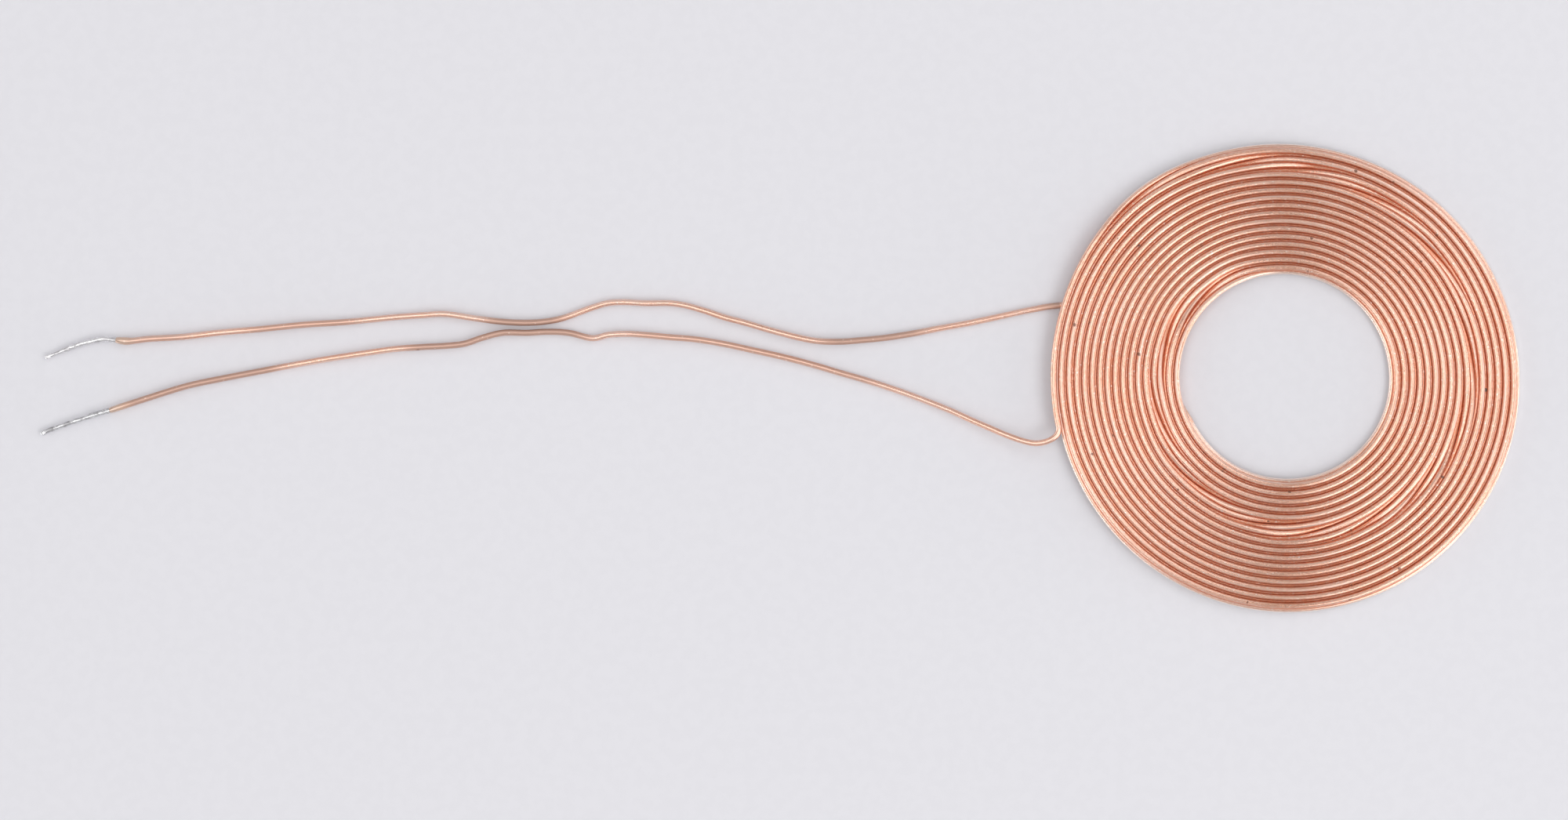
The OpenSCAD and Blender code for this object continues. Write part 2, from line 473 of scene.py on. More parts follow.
class Nodes:
    """Adds nodes to a tree and links them."""

    def __init__(self, tree: bpy.types.NodeTree) -> None:
        """Starts on a tree, which it empties."""
        self.tree = tree
        tree.nodes.clear()

    def add(self, kind: str, **values: object) -> bpy.types.Node:
        """Adds a node.

        Args:
            kind: Its type, without the leading ShaderNode.
            values: Properties of the node.

        Returns:
            The node.
        """
        name = kind if kind.startswith("NodeGroup") else "ShaderNode" + kind
        node = self.tree.nodes.new(name)
        for key, value in values.items():
            setattr(node, key, value)
        return node

    def link(self, source: bpy.types.NodeSocket, target: bpy.types.NodeSocket) -> None:
        """Links an output to an input."""
        self.tree.links.new(source, target)

    def feed(self, socket: bpy.types.NodeSocket, value: object) -> None:
        """Sets an input, or links it.

        Args:
            socket: The input.
            value: What it gets, a plain value or an output.
        """
        if isinstance(value, bpy.types.NodeSocket):
            self.link(value, socket)
        else:
            socket.default_value = value

    def maths(self, operation: str, *values: object, clamp: bool = False) -> bpy.types.NodeSocket:
        """Adds a Math node.

        Args:
            operation: What it works out.
            values: What it works on, numbers or outputs.
            clamp: Whether the result stays between 0 and 1.

        Returns:
            Its result.
        """
        node = self.add("Math", operation=operation, use_clamp=clamp)
        for socket, value in zip(node.inputs, values, strict=False):
            self.feed(socket, value)
        return node.outputs[0]

    def spread(
        self, value: object, low: float, high: float, to_low: float = 0.0, to_high: float = 1.0
    ) -> bpy.types.NodeSocket:
        """Maps a range to another one, clamped, with eased ends.

        Args:
            value: What is mapped.
            low: Where the range begins.
            high: Where it ends.
            to_low: What low becomes.
            to_high: What high becomes.

        Returns:
            The mapped value.
        """
        node = self.add("MapRange", interpolation_type="SMOOTHSTEP", clamp=True)
        for socket, number in zip(node.inputs, (value, low, high, to_low, to_high), strict=False):
            self.feed(socket, number)
        return node.outputs[0]

    def mix(self, share: object, first: object, second: object) -> bpy.types.NodeSocket:
        """Mixes two colours.

        Args:
            share: How much of the second one shows.
            first: A colour.
            second: Another colour.

        Returns:
            The mixed colour.
        """
        node = self.add("Mix", data_type="RGBA")
        sockets = (node.inputs[0], *node.inputs[6:8])
        for socket, value in zip(sockets, (share, first, second), strict=True):
            self.feed(socket, value)
        return node.outputs[2]

    def noise(
        self, vector: object, scale: float, detail: float = 2.0, roughness: float = 0.5
    ) -> bpy.types.NodeSocket:
        """Adds a noise texture.

        Args:
            vector: Where it is read.
            scale: How fine it is.
            detail: How many finer layers it has.
            roughness: How strong those are.

        Returns:
            Its value.
        """
        node = self.add("TexNoise")
        self.feed(node.inputs["Vector"], vector)
        for name, value in (("Scale", scale), ("Detail", detail), ("Roughness", roughness)):
            self.feed(node.inputs[name], value)
        return node.outputs["Fac"]

    def split(self, vector: bpy.types.NodeSocket) -> bpy.types.bpy_prop_collection:
        """Takes a vector apart.

        Args:
            vector: The vector.

        Returns:
            Its three numbers.
        """
        node = self.add("SeparateXYZ")
        self.link(vector, node.inputs[0])
        return node.outputs

    def attribute(self, name: str) -> bpy.types.NodeSocket:
        """Reads a piece's attribute, which is 0 where the piece has none."""
        return self.add("Attribute", attribute_name=name).outputs["Fac"]

    def bump(self, height: object, depth: float, strength: float = 0.6) -> bpy.types.NodeSocket:
        """Adds a Bump node.

        Args:
            height: The relief, from about 0 to 1.
            depth: How deep the relief is, in metres.
            strength: The share of it that shows.

        Returns:
            The normal.
        """
        node = self.add("Bump")
        for name, value in (("Strength", strength), ("Distance", depth), ("Height", height)):
            self.feed(node.inputs[name], value)
        return node.outputs["Normal"]


def new_group(name: str, takes: dict[str, str], gives: dict[str, str]) -> tuple[Nodes, dict, dict]:
    """Starts a node group with named sockets.

    Args:
        name: The group's name.
        takes: The type of each input by name.
        gives: The type of each output by name.

    Returns:
        Its nodes, its inputs by name and its outputs by name.
    """
    tree = bpy.data.node_groups.new(name, "ShaderNodeTree")
    for direction, sockets in (("INPUT", takes), ("OUTPUT", gives)):
        for socket, kind in sockets.items():
            tree.interface.new_socket(socket, in_out=direction, socket_type="NodeSocket" + kind)
    nodes = Nodes(tree)
    inside, outside = nodes.add("NodeGroupInput"), nodes.add("NodeGroupOutput")
    return nodes, inside.outputs, outside.inputs


class Effects:
    """Effects that more than one finish uses, each built once as a node group."""

    def __init__(self) -> None:
        """Builds the groups."""
        self.grain = self.drawn_grain()
        self.specks = self.fine_specks()

    def drawn_grain(self, mottle_scale: float = 0.37) -> bpy.types.NodeTree:
        """Builds streaks along a drawn wire, from its grain map.

        Args:
            mottle_scale: The scale of the mottle, where that of the streaks is 1.

        Returns:
            The group. It takes how many streaks lie round the wire and how long they are.
        """
        nodes, takes, gives = new_group(
            "drawn_grain",
            {"Vector": "Vector", "Streaks": "Float", "Length": "Float"},
            {"Streak": "Float", "Mottle": "Float"},
        )
        place = nodes.split(takes["Vector"])
        angle = nodes.maths("MULTIPLY", place[0], 2 * math.pi)
        across = nodes.maths("MULTIPLY", takes["Streaks"], 1 / (2 * math.pi))
        ring = nodes.add("CombineXYZ")
        nodes.feed(ring.inputs[0], nodes.maths("MULTIPLY", nodes.maths("COSINE", angle), across))
        nodes.feed(ring.inputs[1], nodes.maths("MULTIPLY", nodes.maths("SINE", angle), across))
        nodes.feed(ring.inputs[2], nodes.maths("DIVIDE", place[1], takes["Length"]))
        streak = nodes.noise(ring.outputs[0], 1.0, detail=3.0, roughness=0.6)
        nodes.link(streak, gives["Streak"])
        nodes.link(nodes.noise(ring.outputs[0], mottle_scale), gives["Mottle"])
        return nodes.tree

    def fine_specks(
        self, wobble: float = 2e-4, wobble_scale: float = 2500.0, edge: float = 0.5
    ) -> bpy.types.NodeTree:
        """Builds small scattered specks, from Object coordinates.

        Args:
            wobble: How far the noise moves their outline, in metres.
            wobble_scale: The scale of that noise.
            edge: How much of a speck is its soft edge.

        Returns:
            The group. It takes how far apart the specks lie, how large they are and what
            share of them shows.
        """
        nodes, takes, gives = new_group(
            "fine_specks",
            {"Vector": "Vector", "Spacing": "Float", "Size": "Float", "Share": "Float"},
            {"Speck": "Float"},
        )
        shift = nodes.add("TexNoise")
        nodes.feed(shift.inputs["Vector"], takes["Vector"])
        nodes.feed(shift.inputs["Scale"], wobble_scale)
        bent = nodes.add("VectorMath", operation="MULTIPLY_ADD")
        nodes.feed(bent.inputs[0], shift.outputs["Color"])
        nodes.feed(bent.inputs[1], (wobble, wobble, wobble))
        nodes.feed(bent.inputs[2], takes["Vector"])
        cells = nodes.add("TexVoronoi")
        nodes.feed(cells.inputs["Vector"], bent.outputs[0])
        nodes.feed(cells.inputs["Scale"], nodes.maths("DIVIDE", 1.0, takes["Spacing"]))
        away = nodes.maths("MULTIPLY", cells.outputs["Distance"], takes["Spacing"])
        near = nodes.maths("SUBTRACT", 1.0, nodes.maths("DIVIDE", away, takes["Size"]), clamp=True)
        tint = nodes.add("SeparateColor")
        nodes.link(cells.outputs["Color"], tint.inputs[0])
        chosen = nodes.maths("LESS_THAN", tint.outputs[0], takes["Share"])
        nodes.link(nodes.maths("MULTIPLY", nodes.spread(near, 0.0, edge), chosen), gives["Speck"])
        return nodes.tree


def use_group(
    nodes: Nodes, tree: bpy.types.NodeTree, **values: object
) -> bpy.types.bpy_prop_collection:
    """Places a group in a material.

    Args:
        nodes: The material's nodes.
        tree: The group.
        values: What each named input gets.

    Returns:
        The group's outputs.
    """
    node = nodes.add("Group", node_tree=tree)
    for name, value in values.items():
        nodes.feed(node.inputs[name], value)
    return node.outputs


def new_material(name: str) -> tuple[bpy.types.Material, Nodes, bpy.types.Node]:
    """Starts a material with a Principled BSDF.

    Args:
        name: The material's name.

    Returns:
        The material, its nodes and its shader.
    """
    material = bpy.data.materials.new(name)
    material.use_nodes = True
    nodes = Nodes(material.node_tree)
    shader, out = nodes.add("BsdfPrincipled"), nodes.add("OutputMaterial")
    nodes.link(shader.outputs[0], out.inputs["Surface"])
    return material, nodes, shader


@dataclass(frozen=True)
class WireMasks:
    """Patterns on a wire that its colour, its gloss and its relief share."""

    along: bpy.types.NodeSocket
    batch: bpy.types.NodeSocket
    streak: bpy.types.NodeSocket
    mottle: bpy.types.NodeSocket
    scratch: bpy.types.NodeSocket
    speck: bpy.types.NodeSocket
    # Painted highlight dots
    painted_glint: bpy.types.NodeSocket
    # Where the coat is dull and painted darker as shade
    dull: object


@dataclass(frozen=True)
class EnamelledCopper:
    """Clear enamel over drawn copper.

    wear_and_glints is how much the coat rubbed, from 0 to 1, which also scales the painted
    glints, and specked is the share of its specks that shows. Streaks and scratches are how many
    lie round the wire and how long they are. Where tin_at is given, the enamel is scorched close
    to that length along the wire. The glints are painted highlight dots; where the strand climbs
    to change layer, they are up to twice as large and as many. Painted shade darkens the
    grooves, the lower layer and the dull stretches. Lengths along the wire are in millimetres. A
    range is where between 0 and 1 a pattern sets in.
    """

    name: str = "enamelled_copper"
    copper: Colour = (0.9, 0.52, 0.378, 1.0)
    amber: Colour = (0.87, 0.46, 0.31, 1.0)
    pale: Colour = (0.93, 0.65, 0.54, 1.0)
    speck: Colour = (0.3, 0.12, 0.07, 1.0)
    # The colour of the painted shade on dull stretches
    painted_dull_shade: Colour = (0.6, 0.38, 0.3, 1.0)
    scorched: Colour = (0.72, 0.5, 0.38, 1.0)
    # The colour of the painted shade in the grooves and on the lower layer
    groove_shade: Colour = (0.73, 0.19, 0.045, 1.0)
    rust: Colour = (0.6, 0.25, 0.17, 1.0)
    # The colour of the painted highlights: the glints and the free edges
    painted_glint: Colour = (1.0, 0.88, 0.8, 1.0)
    metallic: float = 0.84
    roughness: float = 0.24
    anisotropic: float = 0.88
    coat_ior: float = 1.9
    coat_roughness: float = 0.1

    # What differs from wire to wire
    # How much the coat rubbed, from 0 to 1, which also scales the painted glints
    wear_and_glints: float = 1.0
    specked: float = 0.4
    # Stretches with a duller coat, also painted darker as shade
    dull: Stretches = ()
    tin_at: float | None = None

    # The patterns
    batch_scale: float = 160.0
    streaks: Range = (26.0, 5.0)
    scratches: Range = (15.0, 0.28)
    speck_spacing: float = 0.002
    speck_size: float = 0.00021
    glint_spacing: float = 0.0004
    glint_size: float = 1e-4
    glint_share: float = 0.4
    dull_ease: float = 1.5
    scorch_off: Range = (-1.9, 0.1)
    scorch_ragged: float = 1.2

    # How they colour the enamel
    batch_range: Range = (0.35, 0.7)
    mottle_range: Range = (0.5, 0.75)
    streak_range: Range = (0.3, 0.5)
    streaked: float = 0.35
    # How strongly the painted shade of the grooves and the lower layer shows
    groove_shading: float = 0.95
    rust_range: Range = (0.3, 0.55)
    rusted: float = 0.25
    rub_range: Range = (0.5, 0.7)
    rubbed: float = 0.5
    glinting: float = 0.6

    # How they change its gloss and its relief
    rough_range: Range = (0.3, 0.7)
    rough_swing: Range = (-0.03, 0.06)
    speck_rough: float = 0.3
    dull_rough: float = 0.14
    scratch_range: Range = (0.3, 0.6)
    scratched: float = 0.6
    dull_coat: float = 0.05
    relief: float = 2e-5
    streak_relief: float = 0.5

    def material(self, effects: Effects) -> bpy.types.Material:
        """Builds the finish.

        Args:
            effects: The shared node groups.

        Returns:
            The material.
        """
        material, nodes, shader = new_material(self.name)
        masks = self.masks(nodes, effects)
        tangent = nodes.add("Tangent", direction_type="UV_MAP", uv_map=GRAIN_MAP)
        for name, value in (
            ("Base Color", self.colour(nodes, masks)),
            ("Metallic", self.metallic),
            ("Roughness", self.rough(nodes, masks)),
            ("Anisotropic", self.anisotropic),
            ("Tangent", tangent.outputs["Tangent"]),
            ("Normal", self.normal(nodes, masks)),
            ("Coat Weight", self.coat(nodes, masks)),
            ("Coat Roughness", self.coat_roughness),
            ("Coat IOR", self.coat_ior),
        ):
            nodes.feed(shader.inputs[name], value)
        return material

    def masks(self, nodes: Nodes, effects: Effects) -> WireMasks:
        """Places the patterns.

        Args:
            nodes: The material's nodes.
            effects: The shared node groups.

        Returns:
            The patterns.
        """
        place = nodes.add("TexCoord").outputs["Object"]
        along = nodes.add("UVMap", uv_map=GRAIN_MAP).outputs["UV"]
        coarse, fine = (
            use_group(nodes, effects.grain, Vector=along, Streaks=count, Length=length)
            for count, length in (self.streaks, self.scratches)
        )
        specks = use_group(
            nodes,
            effects.specks,
            Vector=place,
            Spacing=self.speck_spacing,
            Size=self.speck_size,
            Share=self.specked,
        )
        # Painted highlight dots, larger and more where the strand climbs
        climb_sparkle = nodes.attribute(CLIMB_SPARKLE)
        glints = use_group(
            nodes,
            effects.specks,
            Vector=place,
            Spacing=self.glint_spacing,
            Size=nodes.maths("MULTIPLY_ADD", climb_sparkle, self.glint_size, self.glint_size),
            Share=nodes.maths("MULTIPLY_ADD", climb_sparkle, self.glint_share, self.glint_share),
        )
        return WireMasks(
            along=along,
            batch=nodes.noise(place, self.batch_scale),
            streak=coarse["Streak"],
            mottle=coarse["Mottle"],
            scratch=fine["Streak"],
            speck=specks["Speck"],
            painted_glint=glints["Speck"],
            dull=self.dull_and_shaded(nodes, along),
        )

    def colour(self, nodes: Nodes, masks: WireMasks) -> bpy.types.NodeSocket:
        """Colours the enamel: from batch to batch, along the drawn metal and where it wore, with
        painted shade in the grooves, on the lower layer and on dull stretches, and painted
        highlights on the free edges and as glints.

        Args:
            nodes: The material's nodes.
            masks: Its patterns.

        Returns:
            The colour.
        """
        batch = nodes.spread(masks.batch, *self.batch_range)
        mottle = nodes.spread(masks.mottle, *self.mottle_range)
        streak = nodes.spread(masks.streak, *self.streak_range, self.streaked, 0.0)
        # Painted shade in the grooves between the turns and on the lower layer
        groove_shading = nodes.maths("MULTIPLY", nodes.attribute(PAINTED_GROOVE_SHADE), self.groove_shading)
        rust = nodes.spread(masks.scratch, *self.rust_range, self.rusted * self.wear_and_glints, 0.0)
        rub = nodes.spread(masks.scratch, *self.rub_range, 0.0, self.rubbed * self.wear_and_glints)
        # Painted highlight dots
        painted_glint = nodes.maths("MULTIPLY", masks.painted_glint, self.glinting * self.wear_and_glints)
        colour = nodes.mix(batch, self.copper, self.amber)
        colour = nodes.mix(mottle, colour, self.pale)
        colour = nodes.mix(streak, colour, self.amber)
        colour = nodes.mix(groove_shading, colour, self.groove_shade)
        colour = nodes.mix(rust, colour, self.rust)
        colour = nodes.mix(rub, colour, self.pale)
        # Painted highlight along the free edges of the rim and the hole
        colour = nodes.mix(nodes.attribute(PAINTED_EDGE_HIGHLIGHT), colour, self.painted_glint)
        # Painted shade on dull stretches, where the coat is also duller
        colour = nodes.mix(masks.dull, colour, self.painted_dull_shade)
        if self.tin_at is not None:
            colour = nodes.mix(self.scorch(nodes, masks.along), colour, self.scorched)
        colour = nodes.mix(painted_glint, colour, self.painted_glint)
        return nodes.mix(masks.speck, colour, self.speck)

    def rough(self, nodes: Nodes, masks: WireMasks) -> bpy.types.NodeSocket:
        """Gives the roughness, which is higher in specks and in dull stretches.

        Args:
            nodes: The material's nodes.
            masks: Its patterns.

        Returns:
            The roughness.
        """
        low, high = (self.roughness + swing for swing in self.rough_swing)
        rough = nodes.spread(masks.mottle, *self.rough_range, low, high)
        rough = nodes.maths("MULTIPLY_ADD", masks.speck, self.speck_rough, rough)
        return nodes.maths("MULTIPLY_ADD", masks.dull, self.dull_rough, rough)

    def normal(self, nodes: Nodes, masks: WireMasks) -> bpy.types.NodeSocket:
        """Gives the relief of the streaks, the scratches and the sunken specks.

        Args:
            nodes: The material's nodes.
            masks: Its patterns.

        Returns:
            The normal.
        """
        height = nodes.maths("MULTIPLY", masks.streak, self.streak_relief)
        height = nodes.maths("MULTIPLY_ADD", masks.scratch, self.wear_and_glints, height)
        height = nodes.maths("SUBTRACT", height, masks.speck)
        return nodes.bump(height, self.relief)

    def coat(self, nodes: Nodes, masks: WireMasks) -> bpy.types.NodeSocket:
        """Gives the weight of the clear coat, which is low in scratches and dull stretches.

        Args:
            nodes: The material's nodes.
            masks: Its patterns.

        Returns:
            The weight.
        """
        least = 1 - self.scratched * self.wear_and_glints
        in_scratches = nodes.spread(masks.scratch, *self.scratch_range, least, 1.0)
        where_dull = nodes.spread(masks.dull, 0.0, 1.0, 1.0, self.dull_coat)
        return nodes.maths("MULTIPLY", in_scratches, where_dull)

    def dull_and_shaded(self, nodes: Nodes, along: bpy.types.NodeSocket) -> object:
        """Gives how dull the coat is along the wire, and so how much painted shade darkens it.

        Args:
            nodes: The material's nodes.
            along: The wire's grain map.

        Returns:
            From 0 to 1, or plain 0 on a wire without a dull stretch.
        """
        place = nodes.split(along)[1]
        ease = self.dull_ease
        dull = 0.0
        for begins, ends, strength in self.dull:
            rise = nodes.spread(place, begins - ease, begins + ease, 0.0, strength)
            fall = nodes.spread(place, ends - ease, ends + ease, 1.0, 0.0)
            dull = nodes.maths("MULTIPLY_ADD", rise, fall, dull)
        return dull

    def scorch(self, nodes: Nodes, along: bpy.types.NodeSocket) -> bpy.types.NodeSocket:
        """Gives where the enamel is browned, which is next to the tin.

        Args:
            nodes: The material's nodes.
            along: The wire's grain map.

        Returns:
            From 0 to 1.
        """
        torn = nodes.noise(along, 2.0)
        place = nodes.maths("MULTIPLY_ADD", torn, self.scorch_ragged, nodes.split(along)[1])
        return nodes.spread(place, *(self.tin_at + off for off in self.scorch_off))


@dataclass(frozen=True)
class TinnedCopper:
    """Dipped tin with grain and specks of dross."""

    name: str = "tinned_copper"
    tin: Colour = (0.93, 0.92, 0.93, 1.0)
    dull: Colour = (0.62, 0.6, 0.61, 1.0)
    dross: Colour = (0.3, 0.22, 0.13, 1.0)
    roughness: float = 0.16
    dull_roughness: float = 0.36
    cloud_scale: float = 1800.0
    tin_range: Range = (0.35, 0.62)
    rough_range: Range = (0.3, 0.7)
    relief_scale: float = 5200.0
    relief: float = 4e-5
    speck_spacing: float = 0.0007
    speck_size: float = 0.0001
    specked: float = 0.35

    def material(self, effects: Effects) -> bpy.types.Material:
        """Builds the finish.

        Args:
            effects: The shared node groups.

        Returns:
            The material.
        """
        material, nodes, shader = new_material(self.name)
        place = nodes.add("TexCoord").outputs["Object"]
        specks = use_group(
            nodes,
            effects.specks,
            Vector=place,
            Spacing=self.speck_spacing,
            Size=self.speck_size,
            Share=self.specked,
        )
        cloud = nodes.noise(place, self.cloud_scale, detail=4.0, roughness=0.65)
        grain = nodes.noise(place, self.relief_scale, detail=3.0, roughness=0.6)
        colour = nodes.mix(nodes.spread(cloud, *self.tin_range), self.dull, self.tin)
        rough = nodes.spread(cloud, *self.rough_range, self.dull_roughness, self.roughness)
        nodes.feed(shader.inputs["Base Color"], nodes.mix(specks["Speck"], colour, self.dross))
        nodes.feed(shader.inputs["Roughness"], rough)
        nodes.feed(shader.inputs["Normal"], nodes.bump(grain, self.relief))
        nodes.feed(shader.inputs["Metallic"], 1.0)
        return material


@dataclass(frozen=True)
class PaleTable:
    """A plain, pale, matt table top."""

    name: str = "pale_table"
    colour: Colour = (0.787, 0.778, 0.812, 1.0)
    fibre: Colour = (0.777, 0.768, 0.802, 1.0)
    fibre_scale: float = 900.0
    fibre_range: Range = (0.4, 0.6)
    roughness: float = 0.9
    specular: float = 0.1

    def material(self) -> bpy.types.Material:
        """Builds the finish.

        Returns:
            The material.
        """
        material, nodes, shader = new_material(self.name)
        place = nodes.add("TexCoord").outputs["Object"]
        fibres = nodes.noise(place, self.fibre_scale, detail=3.0)
        shade = nodes.spread(fibres, *self.fibre_range)
        nodes.feed(shader.inputs["Base Color"], nodes.mix(shade, self.colour, self.fibre))
        nodes.feed(shader.inputs["Roughness"], self.roughness)
        nodes.feed(shader.inputs["Specular IOR Level"], self.specular)
        return material


# --------------------------------------------------------------------------------------------
# Sub-assemblies
# --------------------------------------------------------------------------------------------


@dataclass
class UnderRun:
    """The start of the wire, which runs below the turns and climbs into the innermost one.

    It climbs to where the strand begins, at a radius of first_r.
    """

    sizes: CoilSizes
    first_r: float
    name: str = "start_run_wire"
    node: str = "start_run"
    bend_steps: int = 80
    climb_steps: int = 24
    half_sides: int = 10
    rows: int = 3

    def path(self) -> np.ndarray:
        """Runs along the bend, from the rim inwards, and then up the climb.

        Returns:
            The points of the path.
        """
        sizes = self.sizes
        first, last = sizes.bend_angles()
        bend = [sizes.bend_point(a) for a in np.linspace(last, first, self.bend_steps)[:-1]]
        climb = []
        for t in np.linspace(0, 1, self.climb_steps):
            share = ramp(t, 0, 1)
            radius = sizes.inner_turn_r + share * (self.first_r - sizes.inner_turn_r)
            angle = sizes.join_angle + t * sizes.climb_sweep
            turn = sizes.leaned(polar(radius, angle, sizes.wire_r))
            turn[2] = sizes.wire_r + (turn[2] - sizes.wire_r) * share
            climb.append(turn)
        return np.array(bend + climb)

    def build(self, copper: bpy.types.Material) -> None:
        """Makes the piece.

        Args:
            copper: The wire's finish.
        """
        path = self.path()
        radii = np.full(len(path), self.sizes.wire_r)
        obj = Wire(self.name, path, radii, self.half_sides, self.rows).build(copper)
        stand_in(obj, self.node)


@dataclass
class Winding:
    """The turns: one strand that winds outwards and changes layer twice a turn.

    It is laid as a winder lays it. Each pass touches the pass inside it, so its radius comes
    from that one's radius and from how high both lie. The strand comes up from the lower layer
    at each angle in rises and goes back down one turn later. The coil came out oval, drifts
    to one side as it grows and bulges where its last turns change layer. Angles are in degrees
    and arcs, where they follow the wire, in millimetres along it.
    """

    sizes: CoilSizes
    name: str = "winding_strand"
    node: str = "winding"

    # Where the strand begins and where it changes layer
    starts_at: float = 206.0
    first_r: float = 9.65
    rises: tuple[float, ...] = (
        -250, -220, -189, -156, -122, -92, -76, -53, -36, -16, 9, 43, 67, 89, 103, 132,
    )  # fmt: skip

    # How far apart touching passes lie, how high the upper layer lies above the lower one, and
    # how far all of it is lifted
    touch: float = 0.564
    layer_rise: float = 0.435
    lift: float = 0.01

    # How a change of layer is laid along the wire, and about how much a turn grows
    climb_arc: float = 7.5
    climb_lead: float = 3.0
    dive_arc: float = 8.0
    rough_growth: float = 0.35

    # How far and where the coil is out of round
    oval: float = 0.114
    oval_at: float = 161.0
    drift: float = 0.24
    drift_to: float = 300.0
    bulge: float = 0.42
    bulge_at: float = 132.0
    bulge_arc: float = 19.0
    bulge_from: float = 0.6

    # Over how much of its winding the strand has no neighbour at the rim and in the hole
    rim_sweep: float = 400.0
    hole_sweep: float = 500.0

    # How far a pass smooths out the steps of the one inside it, and how finely all is drawn
    rounding: float = 4.0
    rounding_reach: float = 3.0
    step: float = 2.0
    half_sides: int = 7
    rows: int = 32

    def heights(self, angle: np.ndarray, ups: np.ndarray) -> np.ndarray:
        """Gives how far above the lower layer the strand lies.

        Args:
            angle: The winding angle of each point.
            ups: The winding angles at which the strand comes up.

        Returns:
            A height for each point.
        """
        rough_r = self.sizes.inner_turn_r + self.rough_growth * (angle - self.starts_at) / 360
        share = np.zeros(len(angle))
        for i, up in enumerate(ups):
            per_mm = math.degrees(1 / np.interp(up, angle, rough_r))
            begins = up - self.climb_lead * per_mm
            share += ramp(angle, begins, begins + self.climb_arc * per_mm)
            if i + 1 < len(ups):
                down = ups[i + 1] - 360
                per_mm = math.degrees(1 / np.interp(down, angle, rough_r))
                share -= ramp(angle, down - self.dive_arc * per_mm, down)
        return share * self.layer_rise

    def radii(self, angle: np.ndarray, height: np.ndarray) -> np.ndarray:
        """Lays each pass against the one inside it.

        Args:
            angle: The winding angle of each point.
            height: How high each point lies.

        Returns:
            A radius for each point.
        """
        turn = int(round(360 / self.step))
        gap = np.zeros(len(angle))
        gap[turn:] = np.sqrt(self.touch**2 - (height[turn:] - height[:-turn]) ** 2)
        reach = int(round(self.rounding_reach * self.rounding / self.step))
        away = np.arange(-reach, reach + 1) * self.step / self.rounding
        weights = np.exp(-0.5 * away**2)
        weights /= weights.sum()
        wave = self.oval * np.cos(np.radians(2 * (angle - self.oval_at)))
        radius = self.first_r + gap[turn] * (angle - angle[0]) / 360 + wave - wave[0]
        for first in range(turn + 1, len(angle), turn):
            last = min(first + turn, len(angle))
            laid = radius[first - turn : last - turn] + gap[first:last]
            extra = np.arange(last, min(last + reach, len(angle)))
            beyond = laid[extra - first - turn] + gap[extra] if len(extra) else laid[:0]
            tail = laid[-1] + (laid[-1] - laid[-2]) * np.arange(1, reach + 1)
            tail[: len(beyond)] = beyond
            known = np.concatenate([radius[first - reach : first], laid, tail])
            radius[first:last] = np.convolve(known, weights, mode="valid")
        return radius

    def out_of_round(self, angle: np.ndarray, outwards: np.ndarray) -> np.ndarray:
        """Gives how far the strand lies out from where it would lie on a round coil.

        Args:
            angle: The winding angle of each point.
            outwards: How much of the strand is laid by then, from 0 to 1.

        Returns:
            What comes on top of each point's radius.
        """
        drift = self.drift * outwards * np.cos(np.radians(angle - self.drift_to))
        past = ((angle - self.bulge_at + 180) % 360 - 180) / self.bulge_arc
        return drift + self.bulge * ramp(outwards, self.bulge_from, 1) * np.exp(-0.5 * past**2)

    def strand(self) -> tuple[np.ndarray, PaintedLight]:
        """Lays the whole strand on the leaning coil.

        Returns:
            Its points, and where the painted shade and painted highlights lie on it.
        """
        ups = np.array(self.rises) + 720 * np.arange(1, len(self.rises) + 1)
        ends_at = ups[-1] + self.sizes.last_turn_to - self.rises[-1]
        steps = int(round((ends_at - self.starts_at) / self.step))
        angle = np.linspace(self.starts_at, ends_at, steps + 1)
        height = self.heights(angle, ups)
        outwards = (angle - self.starts_at) / (ends_at - self.starts_at)
        radius = self.radii(angle, height) + self.out_of_round(angle, outwards)
        turn = np.radians(angle)
        z = height + self.sizes.wire_r + self.lift
        level = np.column_stack([radius * np.cos(turn), radius * np.sin(turn), z])
        # Painted shade and painted highlights follow the layer and the free sides at the rim and
        # in the hole
        at_rim = np.where(angle > ends_at - self.rim_sweep, 1.0, 0.0)
        at_hole = np.where(angle < self.starts_at + self.hole_sweep, 1.0, 0.0)
        # How steeply the strand climbs sets where the painted glints grow
        steep = np.abs(np.gradient(height, angle * radius))
        coat = PaintedLight(1 - height / self.layer_rise, at_rim - at_hole, steep / steep.max())
        return self.sizes.leaned(level), coat

    def end(self) -> tuple[np.ndarray, np.ndarray]:
        """Gives where the strand ends.

        Returns:
            Its last point, and its heading there.
        """
        path = self.strand()[0]
        ahead = path[-1] - path[-2]
        return path[-1], ahead / np.linalg.norm(ahead)

    def build(self, copper: bpy.types.Material) -> None:
        """Makes the strand.

        Args:
            copper: The wire's finish.
        """
        path, coat = self.strand()
        radii = np.full(len(path), self.sizes.wire_r)
        wire = Wire(self.name, path, radii, self.half_sides, self.rows, coat)
        obj = wire.build(copper)
        LOG.info("%s: %.2f m of wire", self.name, spans(path).sum() * MM)
        stand_in(obj, self.node)


